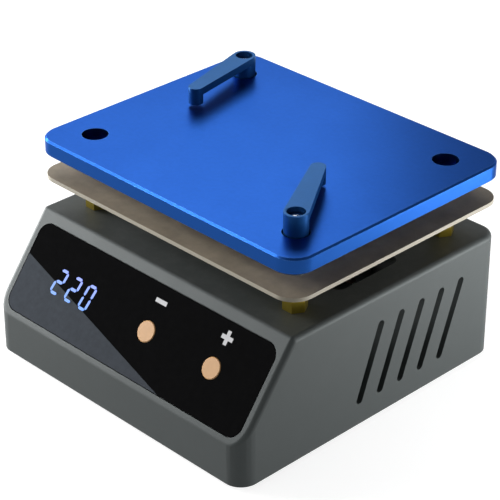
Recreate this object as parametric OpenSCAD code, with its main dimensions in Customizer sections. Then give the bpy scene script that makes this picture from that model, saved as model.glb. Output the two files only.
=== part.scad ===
// Small hot plate that warms a circuit board from below.
// Origin: on the resting surface, under the middle of the housing. +Y points to the back, +Z up.

/* [Housing] */
// Width of the housing
body_w = 99; // [96:0.5:120]
// Depth of the housing, front to back
body_d = 99.2; // [97:0.2:120]
// Height of the housing without its feet
body_h = 37.6; // [36:0.2:48]
// Thickness of the housing walls
wall = 2.2; // [1.8:0.1:2.8]
// Radius of the upright corners
corner_r = 5.4; // [5:0.2:9]
// Rounding of the top and panel edges
edge_r = 1.6; // [1.2:0.1:3.4]
// Slope of the control panel from level
panel_angle = 53.3; // [50:0.1:58]
// Height of the upright front below the panel
front_h = 12.2; // [11:0.2:15]
// Thickness of the wall under the panel
panel_wall = 3.2; // [2.8:0.1:4]

/* [Vents] */
// Number of louvres in each side
louvre_count = 5; // [3:1:6]
// Distance between louvres
louvre_pitch = 8; // [6:0.5:10]
// Length of a louvre along its lean
louvre_len = 24.1; // [16:0.1:26]
// Width of a louvre
louvre_w = 2.4; // [1:0.1:3]
// Lean of the louvres from upright
louvre_lean = 20.3; // [0:0.1:30]
// Louvre group's middle, behind the housing's middle
louvre_y = 14.1; // [8:0.1:16]
// Louvre group's middle, above the housing's lower edge
louvre_z = 17.8; // [16:0.1:20]
// Length of the slots in the housing's top
top_slot_len = 24; // [16:1:28]
// Width of the slots in the housing's top
top_slot_w = 5; // [4:0.5:6]
// Distance of each top slot from the housing's side
top_slot_in = 10.7; // [10:0.1:12]
// Top slots' middle, behind the housing's middle
top_slot_y = 6; // [4:0.5:9]

/* [Control panel] */
// Width of the faceplate
face_w = 93; // [86:0.5:93]
// Height of the faceplate, up the slope
face_h = 26.2; // [24:0.1:27]
// Thickness of the faceplate
face_t = 1.5; // [1.2:0.1:1.8]
// Corner radius of the faceplate
face_r = 3.8; // [3:0.2:6]
// Faceplate's middle, up the slope from its lower edge
face_v = 15; // [14.6:0.1:16]
// Diameter of a push button
button_d = 6; // [5:0.1:7]
// Travel of a push button
button_travel = 0.3; // [0.2:0.05:0.5]
// Place of the minus button across the panel
minus_x = 4.5; // [3:0.5:8]
// Place of the plus button across the panel
plus_x = 29.5; // [26:0.5:30]
// Width of one digit
digit_w = 4.6; // [3.6:0.1:4.8]
// Height of one digit
digit_h = 7.6; // [6:0.1:7.7]
// Distance from digit to digit
digit_pitch = 5.9; // [5.6:0.1:6.2]
// Width of one light bar of a digit
digit_bar = 0.8; // [0.5:0.05:1]
// Lean of the digits
digit_lean = 7; // [0:1:10]
// Place of the display's middle across the panel
display_x = -25.5; // [-27:0.5:-24]

/* [Heating plate] */
// Plate's reach past the insulation board's edge, on every side
plate_over = 0.2; // [0:0.1:0.6]
// Thickness of the heating plate
plate_t = 4.8; // [4.4:0.1:6]
// Corner radius of the heating plate
plate_r = 6.6; // [4:0.2:9]
// Chamfer along the heating plate's edges
plate_chamfer = 0.5; // [0.2:0.1:1]
// Corner holes' distance from the plate's sides
hole_in_x = 11.3; // [10:0.1:12]
// Corner holes' distance from the plate's front and back
hole_in_y = 12.15; // [11.5:0.05:13]
// Diameter of a corner hole
hole_d = 7.5; // [7.2:0.1:8.5]
// Depth of a corner hole
hole_depth = 2.6; // [2:0.1:2.8]
// Heater block's sides inside the plate's sides
heater_in_x = 21; // [20:1:25]
// Heater block's ends inside the plate's front and back
heater_in_y = 13.75; // [13:0.25:16]
// Thickness of the heater block
heater_t = 3.5; // [3:0.1:3.6]

/* [Insulation board] */
// Insulation board's reach past the housing's sides
board_over = 0.4; // [0:0.1:1.5]
// Distance from the housing's front to the insulation board's front edge
board_back = 18; // [17:0.1:19]
// Thickness of the insulation board
board_t = 1.2; // [1:0.1:1.6]
// Corner radius of the insulation board
board_r = 6.3; // [5:0.1:10]
// Height of the hexagonal standoffs
standoff_h = 9.7; // [8:0.1:12]
// Width across flats of the hexagonal standoffs
standoff_af = 6; // [5.5:0.1:7]
// Height of the spacers between board and plate
spacer_h = 6.5; // [6.3:0.1:9]
// Diameter of the spacers between board and plate
spacer_d = 6; // [5.5:0.1:6.5]
// Spacers' distance inside the corner holes, side to side
spacer_in_x = 4; // [3.5:0.5:4.5]
// Spacers' distance inside the corner holes, front to back
spacer_in_y = 4.8; // [4.6:0.2:6]

/* [Clamps] */
// Distance from a clamp's pivot to its foot
arm_len = 25.5; // [20:0.5:28]
// Height of a clamp arm above the plate
arm_h = 5.9; // [5.4:0.1:7]
// Thickness of a clamp arm's bar
arm_t = 2.2; // [1.8:0.1:2.8]
// Diameter of a clamp's post
post_d = 6.6; // [6.3:0.1:7]
// Diameter of a clamp's foot
tip_d = 4.2; // [3.6:0.1:5]
// Gap that a clamp's foot leaves over the plate
grip_gap = 0.9; // [0.5:0.1:1.2]
// Direction in which the front clamp points
front_turn = 121.6; // [-180:0.1:180]
// Direction in which the back clamp points
back_turn = -76.6; // [-180:0.1:180]

/* [Base and power] */
// Thickness of the base cover
base_t = 2.4; // [2.2:0.1:3]
// Height of the feet below the housing
foot_h = 1.5; // [1:0.1:4]
// Diameter of the feet
foot_d = 10; // [8:0.5:11]
// Distance of the power inlet's middle from the rear recess's left end
inlet_in = 18; // [17:0.5:20]
// Distance of the power switch's middle from the rear recess's right end
switch_in = 16; // [14:0.5:18]
// Depth of the rear recess that shelters inlet and switch
recess_depth = 4.4; // [4.3:0.1:5]
// Width of the power board
power_w = 70; // [66:1:72]
// Depth of the power board
power_d = 44; // [42:1:46]

/* [Hidden] */
$fn = 48;
eps = 0.01;
CORNERS = ["front_left", "front_right", "back_left", "back_right"];
SIGNS = ["minus", "plus"];
CLAMPS = ["front", "back"];

button_x = [minus_x, plus_x];
arm_turns = [front_turn, back_turn];
top_slot_x = body_w / 2 - top_slot_in;

// Clearances shared by mating pieces
fit_gap = 0.2;
face_gap = 0.25;
slide_gap = 0.1;
thread_gap = 0.02;
pivot_gap = 0.05;

// Levels, from the resting surface up
top_z = foot_h + body_h;
board_z = top_z + standoff_h;
plate_z = board_z + board_t + spacer_h;
plate_top = plate_z + plate_t;
fitting_z = foot_h + body_h / 2;

// The plate and the insulation board end flush with the back of the housing
board_w = body_w + 2 * board_over;
board_d = body_d - board_back;
plate_w = board_w + 2 * plate_over;
plate_d = board_d + 2 * plate_over;
heater_w = plate_w - 2 * heater_in_x;
heater_d = plate_d - 2 * heater_in_y;
deck_y = board_back / 2;
rear_y = body_d / 2 - recess_depth;

// Metric screws: shank diameter, head diameter, head height
M3 = [3, 5.5, 2];
M25 = [2.5, 4.5, 1.5];
M2 = [2, 3.8, 1.3];
ST29 = [2.9, 5.2, 1.8];

function corners(dx, dy) = [[-dx, -dy], [dx, -dy], [-dx, dy], [dx, dy]];
function deck(dx, dy) = [for (p = corners(dx, dy)) [p.x, p.y + deck_y]];
function unit(v) = v / norm(v);
hole_x = plate_w / 2 - hole_in_x;
hole_y = plate_d / 2 - hole_in_y;
hole_sites = deck(hole_x, hole_y);
spacer_sites = deck(hole_x - spacer_in_x, hole_y - spacer_in_y);
clamp_sites = [hole_sites[1], hole_sites[2]];

// Flat outline with round corners
module rounded(w, d, r) {
    square([w - 2 * r, d], center = true);
    square([w, d - 2 * r], center = true);
    for (p = corners(w / 2 - r, d / 2 - r))
        translate(p) circle(r);
}

// Flat slot with round ends, along X
module obround(len, w) {
    square([len - w, w], center = true);
    for (s = [-1, 1])
        translate([s * (len - w) / 2, 0]) circle(w / 2);
}

module plate(w, d, r, h) {
    linear_extrude(h) rounded(w, d, r);
}

// Plate whose long edges and corners carry the same chamfer above and below
module chamfered_plate(w, d, r, h, c) {
    module profile(half) {
        polygon([[-half, c], [-half, h - c], [c - half, h], [half - c, h],
                 [half, h - c], [half, c], [half - c, 0], [c - half, 0]]);
    }
    rotate([90, 0, 0])
        linear_extrude(d - 2 * r, center = true) profile(w / 2);
    rotate([90, 0, 90])
        linear_extrude(w - 2 * r, center = true) profile(d / 2);
    for (p = corners(w / 2 - r, d / 2 - r))
        translate(p) rotate_extrude()
            polygon([[0, 0], [r - c, 0], [r, c], [r, h - c], [r - c, h], [0, h]]);
}

// Places its children at each listed point, at one height
module at(points, z = 0) {
    for (p = points)
        translate([p.x, p.y, z]) children();
}

// Local frame of the control panel: X across, Y up the slope from its lower edge, Z outwards
module on_panel() {
    translate([0, -body_d / 2, foot_h + front_h]) rotate([panel_angle, 0, 0]) children();
}

// Local frame of the rear fittings: X and Y across and up the back, Z outwards, 0 on the recess floor
module on_rear(x) {
    translate([x, rear_y, fitting_z]) rotate([-90, 0, 0]) mirror([0, 1, 0]) children();
}

// Pan-head screw, the head above Z 0 and the shank below
module screw(size, len) {
    r = size[1] / 2;
    turn = size[2] / 3;
    difference() {
        rotate_extrude()
            polygon([[0, 0], [r, 0], [r, size[2] - turn], [r - turn / 3, size[2] - turn / 3],
                     [r - turn, size[2]], [0, size[2]]]);
        translate([0, 0, size[2] / 2])
            cylinder(d = size[1] / 2, h = size[2], $fn = 6);
    }
    translate([0, 0, -len]) cylinder(d = size[0], h = len + eps);
}

// Turn from one rounding ball to the next along the panel's lower corners
corner_step = 15;

// Solid wedge of the housing, drawn in by a wall on every side and by its own wall at the panel
module wedge(inset, panel_inset, reach = 0) {
    round_r = max(edge_r - inset, 0.6);
    turn_r = corner_r - inset;
    cx = body_w / 2 - corner_r;
    cy = body_d / 2 - corner_r;
    rim_r = turn_r - round_r;
    high = top_z - inset - round_r;
    lean_s = sin(panel_angle);
    lean_c = cos(panel_angle);
    level = body_d / 2 * lean_s + (foot_h + front_h) * lean_c - panel_inset;
    brow_y = (round_r - level + high * lean_c) / lean_s;
    function slope_z(y) = (level - round_r + y * lean_s) / lean_c;
    hull() {
        for (p = corners(cx, cy))
            translate([p.x, p.y, foot_h - reach]) cylinder(r = turn_r, h = 1);
        for (s = [-1, 1]) {
            // The panel's slope cuts the upright corner, and its edge is rounded all along the cut
            for (a = [0:corner_step:90]) {
                y = -cy - rim_r * sin(a);
                translate([s * (cx + rim_r * cos(a)), y, slope_z(y)]) sphere(round_r);
            }
            translate([s * cx, cy, high])
                rotate_extrude() translate([rim_r, 0]) circle(round_r);
            translate([s * (cx + rim_r), brow_y, high]) sphere(round_r);
        }
    }
}

boss_d = 7;
boss_in = 6.7;
boss_sites = corners(body_w / 2 - boss_in, body_d / 2 - boss_in);
boss_h = 16;
recess_w = body_w - 23;
inlet_x = recess_w / 2 - inlet_in;
switch_x = recess_w / 2 - switch_in;
recess_h = 27;
recess_r = 3;
top_boss_d = 9;
pcb_t = 1.6;
pcb_r = 1.5;
panel_boss_d = 5;
control_w = face_w - 19;
control_h = face_h - 3.1;
panel_boss = corners(control_w / 2 - 4, control_h / 2 - 3);
// Depth of the control board's front face behind the panel's outside
control_depth = panel_wall + 6;
flange_d = button_d + 1.8;
module_size = [3 * digit_pitch + 3.1, digit_h + 4];
window = module_size - [1.1, 1.5];
window_r = 1;
inlet_cut = [27, 20];
switch_cut = [19.2, 13];
cut_r = 1;
control_screw_len = 5;

module louvres() {
    for (i = [0 : louvre_count - 1])
        translate([0, louvre_y + (i - (louvre_count - 1) / 2) * louvre_pitch, foot_h + louvre_z])
            rotate([90, 0, 90])
                linear_extrude(body_w + 2, center = true)
                    rotate(90 - louvre_lean) obround(louvre_len, louvre_w);
}

module base_bosses() {
    for (p = boss_sites) {
        translate([p.x, p.y, foot_h + base_t]) cylinder(d = boss_d, h = boss_h);
        translate([p.x + sign(p.x) * boss_in / 2, p.y, foot_h + base_t + boss_h / 2])
            cube([boss_in, wall, boss_h], center = true);
        translate([p.x, p.y + sign(p.y) * boss_in / 2, foot_h + base_t + boss_h / 2])
            cube([wall, boss_in, boss_h], center = true);
    }
}

// The tray in the back wall that the inlet and the switch sit in
module rear_tray() {
    on_rear(0) translate([0, 0, -wall])
        plate(recess_w + 2 * wall, recess_h + 2 * wall, recess_r + wall, recess_depth + wall);
}

module housing() {
    color("#5b6061")
    difference() {
        union() {
            difference() {
                wedge(0, 0);
                wedge(wall, panel_wall, 1, $fn = 24);
            }
            intersection() {
                wedge(wall / 2, wall / 2, $fn = 24);
                union() {
                    base_bosses();
                    rear_tray();
                    at(hole_sites, top_z - 2 * wall) cylinder(d = top_boss_d, h = 2 * wall);
                    on_panel() at(panel_boss, -control_depth)
                        translate([0, face_v]) cylinder(d = panel_boss_d, h = control_depth);
                }
            }
        }
        louvres();
        for (s = [-1, 1])
            translate([s * top_slot_x, top_slot_y, top_z - 2 * wall])
                linear_extrude(3 * wall) rotate(90) obround(top_slot_len, top_slot_w);
        at(hole_sites, top_z - 3 * wall) cylinder(d = M3[0] + fit_gap, h = 4 * wall);
        at(boss_sites, foot_h) cylinder(d = ST29[0] + 2 * thread_gap, h = boss_h);
        on_panel() {
            translate([0, face_v, -face_t])
                plate(face_w + 2 * face_gap, face_h + 2 * face_gap, face_r + face_gap, face_t + 2);
            translate([display_x, face_v, -2 * panel_wall])
                plate(window.x, window.y, window_r, 2 * panel_wall);
            for (x = button_x)
                translate([x, face_v, -2 * panel_wall])
                    cylinder(d = flange_d + 2 * fit_gap, h = 2 * panel_wall);
            at(panel_boss, -control_depth - 1) translate([0, face_v])
                cylinder(d = M2[0] + 2 * thread_gap, h = control_screw_len + 1);
        }
        on_rear(0) plate(recess_w, recess_h, recess_r, recess_depth + 1);
        on_rear(-inlet_x) translate([0, 0, -2 * wall])
            plate(inlet_cut.x, inlet_cut.y, cut_r, 3 * wall);
        on_rear(switch_x) translate([0, 0, -2 * wall])
            plate(switch_cut.x, switch_cut.y, cut_r, 3 * wall);
    }
}

base_w = body_w - 2 * (wall + fit_gap);
base_d = body_d - 2 * (wall + fit_gap);
foot_seat = 0.8;
foot_in = 13.5;
foot_sites = corners(body_w / 2 - foot_in, body_d / 2 - foot_in);
power_y = rear_y - 47.2;
power_in = 4;
post_h = 4;
post_w = 5;
power_screw_len = 4;
power_z = foot_h + base_t + post_h;
power_sites = [for (p = corners(power_w / 2 - power_in, power_d / 2 - power_in)) [p.x, p.y + power_y]];
head_sink = ST29[2] - 0.6;
grille = [40, 2.4];
grille_pitch = 6;

module base_cover() {
    color("#3b3e40")
    difference() {
        union() {
            translate([0, 0, foot_h])
                plate(base_w, base_d, corner_r - wall - fit_gap, base_t);
            at(power_sites, foot_h) cylinder(d = post_w, h = base_t + post_h);
        }
        at(foot_sites, foot_h - 1) cylinder(d = foot_d + 2 * slide_gap, h = foot_seat + 1);
        at(boss_sites, foot_h - 1) cylinder(d = ST29[0] + 2 * fit_gap, h = base_t + 2);
        at(boss_sites, foot_h - 1) cylinder(d = ST29[1] + 2 * fit_gap, h = head_sink + 1);
        at(power_sites, foot_h + 1) cylinder(d = M2[0] + 2 * thread_gap, h = base_t + post_h);
        for (i = [-2 : 2])
            translate([0, power_y + i * grille_pitch, foot_h - 1])
                linear_extrude(base_t + 2) obround(grille.x, grille.y);
    }
}

// A rubber foot, let into the base cover
module foot(p) {
    lip = 0.4;
    color("#1c1c1d") translate([p.x, p.y, 0]) rotate_extrude()
        polygon([[0, 0], [foot_d / 2 - 2 * lip, 0], [foot_d / 2 - lip, lip],
                 [foot_d / 2, foot_h], [foot_d / 2, foot_h + foot_seat], [0, foot_h + foot_seat]]);
}

// The seven bars of a digit, as pairs of ends on a unit cell: top, upper right, lower right,
// bottom, lower left, upper left, middle
BARS = [[[0, 2], [1, 2]], [[1, 2], [1, 1]], [[1, 1], [1, 0]], [[0, 0], [1, 0]],
        [[0, 1], [0, 0]], [[0, 2], [0, 1]], [[0, 1], [1, 1]]];
bar_gap = 0.12;
lean_x = digit_h * tan(digit_lean);
cell = [digit_w - digit_bar - lean_x, (digit_h - digit_bar) / 2];
function lean(p) = [p.x + p.y * tan(digit_lean), p.y];
function bar_outline(a, b, t, gap) =
    let (d = unit(b - a), n = [-d.y, d.x] * t / 2, a1 = a + d * gap, b1 = b - d * gap, m = d * t / 2)
    [for (p = [a1, a1 + m - n, b1 - m - n, b1, b1 - m + n, a1 + m + n]) lean(p)];

// All the bars of three digits, as outlines on the panel
module bars(grow) {
    for (i = [-1 : 1])
        translate([display_x + i * digit_pitch, face_v])
            for (bar = BARS) {
                ends = [for (e = bar) [(e.x - 0.5) * cell.x, (e.y - 1) * cell.y]];
                polygon(bar_outline(ends[0], ends[1], digit_bar + 2 * grow, bar_gap - grow));
            }
}

module faceplate() {
    color("#0b0b0c") on_panel() difference() {
        translate([0, face_v, -face_t]) plate(face_w, face_h, face_r, face_t);
        translate([0, 0, -face_t - 1]) linear_extrude(face_t + 2) bars(bar_clear);
        for (x = button_x)
            translate([x, face_v, -face_t - 1])
                cylinder(d = button_d + 2 * slide_gap, h = face_t + 2);
    }
}

bar_clear = 0.03;
display_t = 5.8;
module display_segments() {
    color("#7fc4ff") on_panel()
        translate([0, 0, display_t - control_depth]) linear_extrude(control_depth - display_t) bars(0);
}

module display_module() {
    color("#dcdcd6") on_panel()
        translate([display_x, face_v, -control_depth]) difference() {
            plate(module_size.x, module_size.y, 0.5, display_t);
            for (s = [-1, 1])
                translate([s * module_size.x / 2, 0, -1]) cylinder(r = window_r, h = display_t + 2);
        }
}

module control_board() {
    color("#1d5b37") on_panel()
        translate([0, face_v, -control_depth - pcb_t]) difference() {
            plate(control_w, control_h, pcb_r, pcb_t);
            at(panel_boss, -1) cylinder(d = M2[0] + fit_gap, h = pcb_t + 2);
        }
}

module control_board_screws() {
    color("silver") on_panel() at(panel_boss, -control_depth - pcb_t)
        translate([0, face_v]) mirror([0, 0, 1]) screw(M2, control_screw_len);
}

tact = [6, 3.5];
plunger_d = 3.4;
plunger_h = 0.8;
plunger_root = 0.6;
stem_d = 3;
cap_chamfer = 0.2;
plunger_top = tact[1] + plunger_h - control_depth;
cap_proud = 0.2;
flange_t = 0.8;

module push_button(x) {
    flange_top = -face_t - slide_gap / 2;
    color("#d0a27a") on_panel() translate([x, face_v]) {
        translate([0, 0, flange_top - flange_t]) cylinder(d = flange_d, h = flange_t);
        translate([0, 0, flange_top - eps]) rotate_extrude()
            polygon([[0, 0], [button_d / 2, 0], [button_d / 2, cap_proud - flange_top - cap_chamfer],
                     [button_d / 2 - cap_chamfer, cap_proud - flange_top], [0, cap_proud - flange_top]]);
        translate([0, 0, plunger_top])
            cylinder(d = stem_d, h = flange_top - flange_t - plunger_top + eps);
    }
}

module tact_switch(x) {
    color("#26282a") on_panel() translate([x, face_v, -control_depth]) difference() {
        plate(tact[0], tact[0], 0.5, tact[1]);
        translate([0, 0, tact[1] - button_travel - plunger_root])
            cylinder(d = plunger_d + 2 * slide_gap, h = tact[1]);
    }
}

module tact_plunger(x) {
    color("#101010") on_panel()
        translate([x, face_v, tact[1] - plunger_root - control_depth])
            cylinder(d = plunger_d, h = plunger_h + plunger_root);
}

plate_bite = 2.8;
tap_depth = plate_bite + 0.2;
strap_t = 0.8;
strap_w = 8;
strap_foot = 8;
strap_x = 15;
strap_gap = 0.2;
strap_hole_y = heater_d / 2 + strap_gap + strap_t + (strap_foot - strap_t) / 2;
earth_y = heater_d / 2 + 4;
sensor_bore = 2;
sensor_h = 5.4;
strap_sites = [for (p = corners(strap_x, strap_hole_y)) [p.x, p.y + deck_y]];
sensor_d = 3;
sensor_site = [0, deck_y - earth_y];
sensor_low = plate_z + sensor_bore - 0.1 - sensor_h;
earth_site = [0, deck_y + earth_y];

module heating_plate() {
    color("#2a63d4") difference() {
        translate([0, deck_y, plate_z])
            chamfered_plate(plate_w, plate_d, plate_r, plate_t, plate_chamfer);
        at(hole_sites, plate_top - hole_depth) cylinder(d = hole_d, h = hole_depth + 1);
        at(hole_sites, plate_z - 1) cylinder(d = M25[0] + 2 * thread_gap, h = plate_t);
        at(concat(spacer_sites, strap_sites, [earth_site]), plate_z - 1)
            cylinder(d = M3[0] + 2 * thread_gap, h = tap_depth + 1);
        at([sensor_site], plate_z - 1) cylinder(d = sensor_d + 2 * slide_gap, h = sensor_bore + 1);
    }
}

lead_hole = [12, 5];
lead_x = 3.8 - top_slot_x;
slot_x = 0.4 - top_slot_x;
thread_run = 4;
screw_gap = 0.4;
module insulation_board() {
    color("#b9ad95") translate([0, 0, board_z]) difference() {
        translate([0, deck_y]) plate(board_w, board_d, board_r, board_t);
        at(concat(hole_sites, spacer_sites), -1) cylinder(d = M3[0] + fit_gap, h = board_t + 2);
        translate([lead_x, deck_y, -1])
            linear_extrude(board_t + 2) rotate(90) obround(lead_hole.x, lead_hole.y);
    }
}

// A hexagonal brass standoff, tapped right through
module standoff(p) {
    color("#b08d3c") translate([p.x, p.y, top_z]) difference() {
        cylinder(r = standoff_af / 2 / cos(30), h = standoff_h, $fn = 6);
        translate([0, 0, -1]) cylinder(d = M3[0] + 2 * thread_gap, h = standoff_h + 2);
    }
}

// A round spacer with a stud into the plate and a tapped foot
module plate_spacer(p) {
    color("#c8c9cb") translate([p.x, p.y, board_z + board_t]) difference() {
        union() {
            cylinder(d = spacer_d, h = spacer_h);
            cylinder(d = M3[0], h = spacer_h + plate_bite);
        }
        translate([0, 0, -1]) cylinder(d = M3[0] + 2 * thread_gap, h = thread_run + 1.5);
    }
}

module spacer_screws() {
    color("silver") at(spacer_sites, board_z) mirror([0, 0, 1]) screw(M3, board_t + thread_run);
}

module upper_standoff_screws() {
    color("silver") at(hole_sites, board_z + board_t) screw(M3, board_t + standoff_h / 2 - screw_gap);
}

module lower_standoff_screws() {
    color("silver") at(hole_sites, top_z - 2 * wall) mirror([0, 0, 1])
        screw(M3, 2 * wall + standoff_h / 2 - screw_gap);
}

// Flat heater block with shallow ribs along its underside
module heater() {
    rib = heater_d / 18;
    rib_h = 0.4;
    color("#c3c6c9") translate([0, deck_y, plate_z - heater_t]) difference() {
        translate([-heater_w / 2, -heater_d / 2, 0]) cube([heater_w, heater_d, heater_t]);
        for (i = [-8 : 2 : 8])
            translate([-heater_w / 2 - 1, i * rib - rib / 2, -1]) cube([heater_w + 2, rib, 1 + rib_h]);
    }
}

// Strap that holds the heater up, bent down, across and up again
module heater_strap(x) {
    side = heater_d / 2 + strap_gap;
    reach = side + strap_foot;
    low = -heater_t - strap_t;
    half = [[reach, 0], [reach, -strap_t], [side + strap_t, -strap_t], [side + strap_t, low]];
    inner = [[side, -heater_t], [side, 0]];
    outline = concat(half, [for (i = [3 : -1 : 0]) [-half[i].x, half[i].y]],
                     [for (p = [inner[1], inner[0]]) [-p.x, p.y]], inner);
    color("#a9adb0") difference() {
        translate([x, deck_y, plate_z]) rotate([90, 0, 90])
            linear_extrude(strap_w, center = true) polygon(outline);
        at([for (p = strap_sites) if (sign(p.x) == sign(x)) p], plate_z - 2)
            cylinder(d = M3[0] + fit_gap, h = 3);
    }
}

module plate_screws() {
    color("silver") at(concat(strap_sites, [earth_site]), plate_z - strap_t)
        mirror([0, 0, 1]) screw(M3, plate_bite + strap_t);
}

module temperature_sensor() {
    color("#d8d8d8") at([sensor_site], sensor_low) cylinder(d = sensor_d, h = sensor_h);
}

pocket_d = M25[1] + 0.5;
pocket_floor = 1;
head_drop = 1.5;
washer_t = 0.3;
post_h_all = arm_h + hole_depth;
pocket_z = pocket_floor - hole_depth;
spring_low = pocket_z + washer_t;
spring_high = arm_h - head_drop - M25[2];
spring_wire = 0.4;
spring_d = pocket_d - 2 * slide_gap - spring_wire;
spring_turns = 4;

// A clamp's local frame: pivot at the origin, plate's top at Z 0, arm along X
module on_clamp(i) {
    translate([clamp_sites[i].x, clamp_sites[i].y, plate_top]) rotate(arm_turns[i]) children();
}

module clamp_arm(i) {
    r1 = post_d / 2;
    r2 = tip_d / 2;
    spread = acos((r1 - r2) / arm_len);
    side = [cos(spread), sin(spread)];
    module bar() {
        circle(r1);
        translate([arm_len, 0]) circle(r2);
        polygon([[r1 * side.x, r1 * side.y], [r1 * side.x, -r1 * side.y],
                 [arm_len + r2 * side.x, -r2 * side.y], [arm_len + r2 * side.x, r2 * side.y]]);
    }
    color("#34608f") on_clamp(i) difference() {
        union() {
            translate([0, 0, -hole_depth]) cylinder(r = r1, h = post_h_all - eps);
            translate([0, 0, arm_h - arm_t]) linear_extrude(arm_t) bar();
            translate([arm_len, 0, grip_gap]) cylinder(r = r2, h = arm_h - grip_gap - eps);
        }
        translate([0, 0, pocket_z]) cylinder(d = pocket_d, h = post_h_all);
        translate([0, 0, -hole_depth - 1]) cylinder(d = M25[0] + 2 * pivot_gap, h = 3);
    }
}

module clamp_screw(i) {
    color("#d9dadc") on_clamp(i) translate([0, 0, spring_high])
        screw(M25, spring_high + plate_t - fit_gap);
}

module clamp_washer(i) {
    color("#bfc1c4") on_clamp(i) translate([0, 0, pocket_z]) difference() {
        cylinder(d = pocket_d - 2 * slide_gap, h = washer_t);
        translate([0, 0, -1]) cylinder(d = M25[0] + 2 * pivot_gap, h = 3);
    }
}

// Helix whose first and last turns close up, at t from 0 to 1
function coil_point(t) =
    let (half = spring_wire / 2, low = spring_low + half, high = spring_high - half,
         a = 360 * spring_turns * t, ease = t * t * (3 - 2 * t))
    [spring_d / 2 * cos(a), spring_d / 2 * sin(a), low + (high - low) * ease];

module clamp_spring(i) {
    steps = spring_turns * 12;
    color("#c9cbce") on_clamp(i)
        tube([for (k = [0 : steps]) coil_point(k / steps)], spring_wire * 0.48, 6, [0, 0, 1]);
}

// A tube swept along points, its rings kept square to the path
module tube(path, r, sides, up) {
    last = len(path) - 1;
    rings = [for (i = [0 : last])
        let (t = unit(path[min(i + 1, last)] - path[max(i - 1, 0)]),
             n = unit(cross(up, t)), b = cross(t, n))
        for (k = [0 : sides - 1]) path[i] + r * (cos(360 * k / sides) * n + sin(360 * k / sides) * b)];
    skin = [for (i = [0 : last - 1]) for (k = [0 : sides - 1])
        let (a = i * sides + k, b = i * sides + (k + 1) % sides)
        [a, a + sides, b + sides, b]];
    polyhedron(rings, concat(skin, [[for (k = [0 : sides - 1]) k]],
                             [[for (k = [sides - 1 : -1 : 0]) last * sides + k]]), convexity = 8);
}

// Smooth curve through hand-placed points
function through(p, i, t) =
    let (n = len(p) - 1, a = p[max(i - 1, 0)], b = p[i], c = p[i + 1], d = p[min(i + 2, n)])
    0.5 * (2 * b + (c - a) * t + (2 * a - 5 * b + 4 * c - d) * t * t
           + (3 * b - a - 3 * c + d) * t * t * t);
function smooth(p, n) = concat([for (i = [0 : len(p) - 2]) for (k = [0 : n - 1]) through(p, i, k / n)],
                               [p[len(p) - 1]]);
module lead(points, d, up) {
    tube(smooth(points, 4), d / 2, 8, up);
}

lead_d = 1.6;
sleeve_d = 2.2;
block = [26, 9, 10];
block_site = [-12, power_y + 14];
block_z = power_z + pcb_t;
block_pitch = 5;
entry_y = block_site.y + block.y / 2;
entry_z = block_z + 5;
deck_low = board_z + board_t + 1.1;
lug_w = 6.5;
socket = control_depth + pcb_t;
function behind_panel(x, v, depth) =
    [x, depth * sin(panel_angle) + v * cos(panel_angle) - body_d / 2,
     foot_h + front_h + v * sin(panel_angle) - depth * cos(panel_angle)];
function entry(i, back = 0, up = 0, out = 0) =
    [block_site.x - (i - 2) * block_pitch - out, entry_y + back, entry_z + up];

// Points on the way from the plate down to the boards: beside the heater, in the hole of the
// insulation board, and through the slot in the housing's top
function heater_end(y, out) = [-heater_w / 2 - out, deck_y + y, plate_z - 2.2 - out / 15];
function in_slot(y, up) = [slot_x, deck_y + y, top_z + up];

// Leads of the plate: two to the heater, one that earths the plate through a ring under its screw
module plate_leads() {
    color("#e8e3d6") {
        lead([heater_end(-2, 0), heater_end(-2, 3), [lead_x, deck_y - 2, board_z + 1],
              in_slot(-3, 2), in_slot(-3, -6), [slot_x + 2.4, entry_y - 5.5, 20],
              entry(4, 0, -0.5, 9), entry(4, 2.5, -0.7, 3), entry(4, 2.2), entry(4)],
             lead_d, [-0.3, 1, 0.2]);
        lead([heater_end(1, 0), heater_end(1, 3), [lead_x, deck_y + 1, board_z + 1],
              in_slot(0, 2), in_slot(0, -6), [slot_x + 3.9, entry_y - 4.5, 22],
              entry(3, 1, 3, 12), entry(3, 3.8, 2.8, 4), entry(3, 2.5, 0.3), entry(3)],
             lead_d, [-0.3, 1, 0.2]);
        lead([[-M3[1] / 2 - 0.25, earth_site.y, plate_z - strap_t / 2],
              [-lug_w, earth_site.y - 0.5, plate_z - 1.8], [-lug_w - 2.3, earth_site.y - 5, deck_low + 1],
              [-lug_w - 4.5, deck_y + 21, deck_low], [-strap_x - 9, deck_y + 10, deck_low],
              [lead_x + 1.6, deck_y + 4.4, deck_low - 0.1], [lead_x - 0.2, deck_y + 3.3, board_z + 0.2],
              in_slot(4, 1.5), in_slot(4, -6), [slot_x + 2.4, entry_y - 1.5, 18],
              entry(2, 4.5, -3.1, 18), entry(2, 5, -3.1, 6), entry(2, 3, -1, 0.4), entry(2)],
             lead_d, [-0.3, 0.2, 1]);
        translate([earth_site.x, earth_site.y, plate_z - strap_t]) difference() {
            cylinder(d = lug_w, h = strap_t);
            translate([0, 0, -1]) cylinder(d = M3[0] + fit_gap, h = strap_t + 2);
        }
    }
}

module sensor_lead() {
    color("#d9c9a0")
        lead([[0, sensor_site.y, sensor_low], [-0.6, sensor_site.y + 0.4, deck_low + 0.9],
              [-3, sensor_site.y + 1.4, deck_low + 0.1], [-16, deck_y - 24, deck_low],
              [-28, deck_y - 10, deck_low], [lead_x + 1, deck_y - 5, deck_low - 0.3],
              [lead_x - 0.5, deck_y - 4.4, board_z - 1], in_slot(-6, 1.5), in_slot(-6, -6),
              [lead_x, deck_y - 16.7, top_z - 11], [-28, deck_y - 29, top_z - 16],
              behind_panel(-18, 18, socket + 4), behind_panel(-18, 18, socket)], lead_d, [0.5, 0.4, 0.7]);
}

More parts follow.
